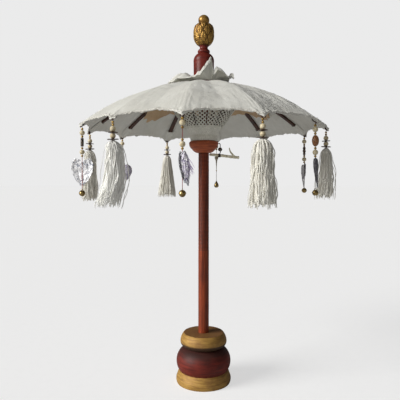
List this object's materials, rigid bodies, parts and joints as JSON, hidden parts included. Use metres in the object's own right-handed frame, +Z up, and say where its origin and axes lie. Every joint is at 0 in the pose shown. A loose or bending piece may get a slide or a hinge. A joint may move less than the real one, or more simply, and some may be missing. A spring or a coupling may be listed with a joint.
{
  "type": "table parasol",
  "caption": "Small decorative cloth parasol with folding ribs, hanging tassels and shell strands, on a turned wooden pole and round base.",
  "frame": {"origin": "middle of the base's underside, on the pole's axis", "axes": "+Z up along the pole, the pictured front is -Y, +X to the viewer's right"},
  "size_m": [0.4384, 0.4118, 0.6186],
  "materials": {
    "gold_wood": "antique gold paint on turned wood",
    "red_wood": "dark red lacquer on turned wood",
    "pole_wood": "red-brown stain, finely ringed at the top",
    "rib_wood": "dark stained bamboo",
    "bare_wood": "plain turned wood",
    "canopy_cloth": "plain-woven natural cotton",
    "lining_cloth": "thin tan cotton",
    "white_thread": "wound white cotton thread",
    "twig": "whittled twig",
    "dark_cord": "dark braided cord",
    "tassel_cotton": "loose cotton yarn",
    "shell": "mussel and oyster shell, glossy",
    "bead_wood": "pale turned wooden bead",
    "bead_gold": "gold coloured metal bead",
    "coconut": "polished coconut shell",
    "bell_metal": "small jingle bell, worn"
  },
  "bodies": {
    "base": {"base_foot": "gold_wood", "base_drum": "red_wood", "base_cap": "gold_wood"},
    "mast": {"pole": "pole_wood", "top_notch": "bare_wood", "crown_ruffle": "canopy_cloth"},
    "finial": {"finial_base": "red_wood", "finial_gold": "gold_wood"},
    "runner": {"runner": "red_wood", "thread_basket": "white_thread", "pin_tether": "dark_cord"},
    "peg": {"locking_pin": "twig"},
    "rib_01": {"rib_01": "rib_wood", "canopy_panel_01": "canopy_cloth"},
    "strut_01": {"strut_01": "rib_wood"},
    "strand_01": {"strand_01": "tassel_cotton"},
    "rib_02": {"rib_02": "rib_wood", "canopy_panel_02": "canopy_cloth"},
    "strut_02": {"strut_02": "rib_wood"},
    "strand_02": {"strand_02": "shell"},
    "rib_03": {"rib_03": "rib_wood", "canopy_panel_03": "canopy_cloth"},
    "strut_03": {"strut_03": "rib_wood"},
    "strand_03": {"strand_03": "tassel_cotton"},
    "rib_04": {"rib_04": "rib_wood", "canopy_panel_04": "canopy_cloth"},
    "strut_04": {"strut_04": "rib_wood"},
    "strand_04": {"strand_04": "shell"},
    "rib_05": {"rib_05": "rib_wood", "canopy_panel_05": "canopy_cloth"},
    "strut_05": {"strut_05": "rib_wood"},
    "strand_05": {"strand_05": "tassel_cotton"},
    "rib_06": {"rib_06": "rib_wood", "canopy_panel_06": "canopy_cloth"},
    "strut_06": {"strut_06": "rib_wood"},
    "strand_06": {"strand_06": "shell"},
    "rib_07": {"rib_07": "rib_wood", "canopy_panel_07": "canopy_cloth"},
    "strut_07": {"strut_07": "rib_wood"},
    "strand_07": {"strand_07": "tassel_cotton"},
    "rib_08": {"rib_08": "rib_wood", "canopy_panel_08": "canopy_cloth"},
    "strut_08": {"strut_08": "rib_wood"},
    "strand_08": {"strand_08": "shell"},
    "rib_09": {"rib_09": "rib_wood", "canopy_panel_09": "canopy_cloth"},
    "strut_09": {"strut_09": "rib_wood"},
    "strand_09": {"strand_09": "tassel_cotton"},
    "rib_10": {"rib_10": "rib_wood", "canopy_panel_10": "canopy_cloth"},
    "strut_10": {"strut_10": "rib_wood"},
    "strand_10": {"strand_10": "shell"},
    "rib_11": {"rib_11": "rib_wood", "canopy_panel_11": "canopy_cloth"},
    "strut_11": {"strut_11": "rib_wood"},
    "strand_11": {"strand_11": "tassel_cotton"},
    "rib_12": {"rib_12": "rib_wood", "canopy_panel_12": "canopy_cloth"},
    "strut_12": {"strut_12": "rib_wood"},
    "strand_12": {"strand_12": "shell"}
  },
  "joints": [
    {"name": "mast_lift", "type": "slide", "parent": "base", "child": "mast", "axis": [0, 0, 1], "range_m": [0, 0.05]},
    {"name": "finial_lift", "type": "slide", "parent": "mast", "child": "finial", "axis": [0, 0, 1], "range_m": [0, 0.03]},
    {"name": "runner_slide", "type": "slide", "parent": "mast", "child": "runner", "axis": [0, 0, 1], "range_m": [-0.057, 0], "deforming": ["thread_basket"]},
    {"name": "peg_pull", "type": "slide", "parent": "runner", "child": "peg", "axis": [0.9954, 0, -0.0958], "range_m": [0, 0.02], "deforming": ["pin_tether"]},
    {"name": "rib_01_fold", "type": "hinge", "parent": "mast", "child": "rib_01", "pos_m": [0.00478, -0.01166, 0.49962], "axis": [0.9252, 0.3795, 0], "range_deg": [-0.2, 50.8], "deforming": ["canopy_panel_01"]},
    {"name": "strut_01_turn", "type": "hinge", "parent": "runner", "child": "strut_01", "pos_m": [0.0055, -0.01342, 0.409], "axis": [0.9252, 0.3795, 0], "range_deg": [-18.4, 0.2]},
    {"name": "strand_01_swing", "type": "hinge", "parent": "rib_01", "child": "strand_01", "pos_m": [0.07646, -0.18643, 0.42283], "axis": [0.9252, 0.3795, 0], "range_deg": [-50.8, 0.2]},
    {"name": "rib_02_fold", "type": "hinge", "parent": "mast", "child": "rib_02", "pos_m": [0.00997, -0.00771, 0.49962], "axis": [0.6115, 0.7912, 0], "range_deg": [-0.2, 50.8], "deforming": ["canopy_panel_02"]},
    {"name": "strut_02_turn", "type": "hinge", "parent": "runner", "child": "strut_02", "pos_m": [0.01147, -0.00887, 0.409], "axis": [0.6115, 0.7912, 0], "range_deg": [-18.4, 0.2]},
    {"name": "strand_02_swing", "type": "hinge", "parent": "rib_02", "child": "strand_02", "pos_m": [0.15943, -0.12322, 0.42283], "axis": [0.6115, 0.7912, 0], "range_deg": [-50.8, 0.2]},
    {"name": "rib_03_fold", "type": "hinge", "parent": "mast", "child": "rib_03", "pos_m": [0.01249, -0.00169, 0.49962], "axis": [0.134, 0.991, 0], "range_deg": [-0.2, 50.8], "deforming": ["canopy_panel_03"]},
    {"name": "strut_03_turn", "type": "hinge", "parent": "runner", "child": "strut_03", "pos_m": [0.01437, -0.00194, 0.409], "axis": [0.134, 0.991, 0], "range_deg": [-18.4, 0.2]},
    {"name": "strand_03_swing", "type": "hinge", "parent": "rib_03", "child": "strand_03", "pos_m": [0.19968, -0.027, 0.42283], "axis": [0.134, 0.991, 0], "range_deg": [-50.8, 0.2]},
    {"name": "rib_04_fold", "type": "hinge", "parent": "mast", "child": "rib_04", "pos_m": [0.01166, 0.00478, 0.49962], "axis": [-0.3795, 0.9252, 0], "range_deg": [-0.2, 50.8], "deforming": ["canopy_panel_04"]},
    {"name": "strut_04_turn", "type": "hinge", "parent": "runner", "child": "strut_04", "pos_m": [0.01342, 0.0055, 0.409], "axis": [-0.3795, 0.9252, 0], "range_deg": [-18.4, 0.2]},
    {"name": "strand_04_swing", "type": "hinge", "parent": "rib_04", "child": "strand_04", "pos_m": [0.18643, 0.07646, 0.42283], "axis": [-0.3795, 0.9252, 0], "range_deg": [-50.8, 0.2]},
    {"name": "rib_05_fold", "type": "hinge", "parent": "mast", "child": "rib_05", "pos_m": [0.00771, 0.00997, 0.49962], "axis": [-0.7912, 0.6115, 0], "range_deg": [-0.2, 50.8], "deforming": ["canopy_panel_05"]},
    {"name": "strut_05_turn", "type": "hinge", "parent": "runner", "child": "strut_05", "pos_m": [0.00887, 0.01147, 0.409], "axis": [-0.7912, 0.6115, 0], "range_deg": [-18.4, 0.2]},
    {"name": "strand_05_swing", "type": "hinge", "parent": "rib_05", "child": "strand_05", "pos_m": [0.12322, 0.15943, 0.42283], "axis": [-0.7912, 0.6115, 0], "range_deg": [-50.8, 0.2]},
    {"name": "rib_06_fold", "type": "hinge", "parent": "mast", "child": "rib_06", "pos_m": [0.00169, 0.01249, 0.49962], "axis": [-0.991, 0.134, 0], "range_deg": [-0.2, 50.8], "deforming": ["canopy_panel_06"]},
    {"name": "strut_06_turn", "type": "hinge", "parent": "runner", "child": "strut_06", "pos_m": [0.00194, 0.01437, 0.409], "axis": [-0.991, 0.134, 0], "range_deg": [-18.4, 0.2]},
    {"name": "strand_06_swing", "type": "hinge", "parent": "rib_06", "child": "strand_06", "pos_m": [0.027, 0.19968, 0.42283], "axis": [-0.991, 0.134, 0], "range_deg": [-50.8, 0.2]},
    {"name": "rib_07_fold", "type": "hinge", "parent": "mast", "child": "rib_07", "pos_m": [-0.00478, 0.01166, 0.49962], "axis": [-0.9252, -0.3795, 0], "range_deg": [-0.2, 50.8], "deforming": ["canopy_panel_07"]},
    {"name": "strut_07_turn", "type": "hinge", "parent": "runner", "child": "strut_07", "pos_m": [-0.0055, 0.01342, 0.409], "axis": [-0.9252, -0.3795, 0], "range_deg": [-18.4, 0.2]},
    {"name": "strand_07_swing", "type": "hinge", "parent": "rib_07", "child": "strand_07", "pos_m": [-0.07646, 0.18643, 0.42283], "axis": [-0.9252, -0.3795, 0], "range_deg": [-50.8, 0.2]},
    {"name": "rib_08_fold", "type": "hinge", "parent": "mast", "child": "rib_08", "pos_m": [-0.00997, 0.00771, 0.49962], "axis": [-0.6115, -0.7912, 0], "range_deg": [-0.2, 50.8], "deforming": ["canopy_panel_08"]},
    {"name": "strut_08_turn", "type": "hinge", "parent": "runner", "child": "strut_08", "pos_m": [-0.01147, 0.00887, 0.409], "axis": [-0.6115, -0.7912, 0], "range_deg": [-18.4, 0.2]},
    {"name": "strand_08_swing", "type": "hinge", "parent": "rib_08", "child": "strand_08", "pos_m": [-0.15943, 0.12322, 0.42283], "axis": [-0.6115, -0.7912, 0], "range_deg": [-50.8, 0.2]},
    {"name": "rib_09_fold", "type": "hinge", "parent": "mast", "child": "rib_09", "pos_m": [-0.01249, 0.00169, 0.49962], "axis": [-0.134, -0.991, 0], "range_deg": [-0.2, 50.8], "deforming": ["canopy_panel_09"]},
    {"name": "strut_09_turn", "type": "hinge", "parent": "runner", "child": "strut_09", "pos_m": [-0.01437, 0.00194, 0.409], "axis": [-0.134, -0.991, 0], "range_deg": [-18.4, 0.2]},
    {"name": "strand_09_swing", "type": "hinge", "parent": "rib_09", "child": "strand_09", "pos_m": [-0.19968, 0.027, 0.42283], "axis": [-0.134, -0.991, 0], "range_deg": [-50.8, 0.2]},
    {"name": "rib_10_fold", "type": "hinge", "parent": "mast", "child": "rib_10", "pos_m": [-0.01166, -0.00478, 0.49962], "axis": [0.3795, -0.9252, 0], "range_deg": [-0.2, 50.8], "deforming": ["canopy_panel_10"]},
    {"name": "strut_10_turn", "type": "hinge", "parent": "runner", "child": "strut_10", "pos_m": [-0.01342, -0.0055, 0.409], "axis": [0.3795, -0.9252, 0], "range_deg": [-18.4, 0.2]},
    {"name": "strand_10_swing", "type": "hinge", "parent": "rib_10", "child": "strand_10", "pos_m": [-0.18643, -0.07646, 0.42283], "axis": [0.3795, -0.9252, 0], "range_deg": [-50.8, 0.2]},
    {"name": "rib_11_fold", "type": "hinge", "parent": "mast", "child": "rib_11", "pos_m": [-0.00771, -0.00997, 0.49962], "axis": [0.7912, -0.6115, 0], "range_deg": [-0.2, 50.8], "deforming": ["canopy_panel_11"]},
    {"name": "strut_11_turn", "type": "hinge", "parent": "runner", "child": "strut_11", "pos_m": [-0.00887, -0.01147, 0.409], "axis": [0.7912, -0.6115, 0], "range_deg": [-18.4, 0.2]},
    {"name": "strand_11_swing", "type": "hinge", "parent": "rib_11", "child": "strand_11", "pos_m": [-0.12322, -0.15943, 0.42283], "axis": [0.7912, -0.6115, 0], "range_deg": [-50.8, 0.2]},
    {"name": "rib_12_fold", "type": "hinge", "parent": "mast", "child": "rib_12", "pos_m": [-0.00169, -0.01249, 0.49962], "axis": [0.991, -0.134, 0], "range_deg": [-0.2, 50.8], "deforming": ["canopy_panel_12"]},
    {"name": "strut_12_turn", "type": "hinge", "parent": "runner", "child": "strut_12", "pos_m": [-0.00194, -0.01437, 0.409], "axis": [0.991, -0.134, 0], "range_deg": [-18.4, 0.2]},
    {"name": "strand_12_swing", "type": "hinge", "parent": "rib_12", "child": "strand_12", "pos_m": [-0.027, -0.19968, 0.42283], "axis": [0.991, -0.134, 0], "range_deg": [-50.8, 0.2]}
  ],
  "couplings": [
    {"joint": "rib_01_fold", "follows": "runner_slide", "rad_per_m": -15.463},
    {"joint": "strut_01_turn", "follows": "runner_slide", "rad_per_m": 5.5422},
    {"joint": "strand_01_swing", "follows": "runner_slide", "rad_per_m": 15.463},
    {"joint": "rib_02_fold", "follows": "runner_slide", "rad_per_m": -15.463},
    {"joint": "strut_02_turn", "follows": "runner_slide", "rad_per_m": 5.5422},
    {"joint": "strand_02_swing", "follows": "runner_slide", "rad_per_m": 15.463},
    {"joint": "rib_03_fold", "follows": "runner_slide", "rad_per_m": -15.463},
    {"joint": "strut_03_turn", "follows": "runner_slide", "rad_per_m": 5.5422},
    {"joint": "strand_03_swing", "follows": "runner_slide", "rad_per_m": 15.463},
    {"joint": "rib_04_fold", "follows": "runner_slide", "rad_per_m": -15.463},
    {"joint": "strut_04_turn", "follows": "runner_slide", "rad_per_m": 5.5422},
    {"joint": "strand_04_swing", "follows": "runner_slide", "rad_per_m": 15.463},
    {"joint": "rib_05_fold", "follows": "runner_slide", "rad_per_m": -15.463},
    {"joint": "strut_05_turn", "follows": "runner_slide", "rad_per_m": 5.5422},
    {"joint": "strand_05_swing", "follows": "runner_slide", "rad_per_m": 15.463},
    {"joint": "rib_06_fold", "follows": "runner_slide", "rad_per_m": -15.463},
    {"joint": "strut_06_turn", "follows": "runner_slide", "rad_per_m": 5.5422},
    {"joint": "strand_06_swing", "follows": "runner_slide", "rad_per_m": 15.463},
    {"joint": "rib_07_fold", "follows": "runner_slide", "rad_per_m": -15.463},
    {"joint": "strut_07_turn", "follows": "runner_slide", "rad_per_m": 5.5422},
    {"joint": "strand_07_swing", "follows": "runner_slide", "rad_per_m": 15.463},
    {"joint": "rib_08_fold", "follows": "runner_slide", "rad_per_m": -15.463},
    {"joint": "strut_08_turn", "follows": "runner_slide", "rad_per_m": 5.5422},
    {"joint": "strand_08_swing", "follows": "runner_slide", "rad_per_m": 15.463},
    {"joint": "rib_09_fold", "follows": "runner_slide", "rad_per_m": -15.463},
    {"joint": "strut_09_turn", "follows": "runner_slide", "rad_per_m": 5.5422},
    {"joint": "strand_09_swing", "follows": "runner_slide", "rad_per_m": 15.463},
    {"joint": "rib_10_fold", "follows": "runner_slide", "rad_per_m": -15.463},
    {"joint": "strut_10_turn", "follows": "runner_slide", "rad_per_m": 5.5422},
    {"joint": "strand_10_swing", "follows": "runner_slide", "rad_per_m": 15.463},
    {"joint": "rib_11_fold", "follows": "runner_slide", "rad_per_m": -15.463},
    {"joint": "strut_11_turn", "follows": "runner_slide", "rad_per_m": 5.5422},
    {"joint": "strand_11_swing", "follows": "runner_slide", "rad_per_m": 15.463},
    {"joint": "rib_12_fold", "follows": "runner_slide", "rad_per_m": -15.463},
    {"joint": "strut_12_turn", "follows": "runner_slide", "rad_per_m": 5.5422},
    {"joint": "strand_12_swing", "follows": "runner_slide", "rad_per_m": 15.463}
  ]
}
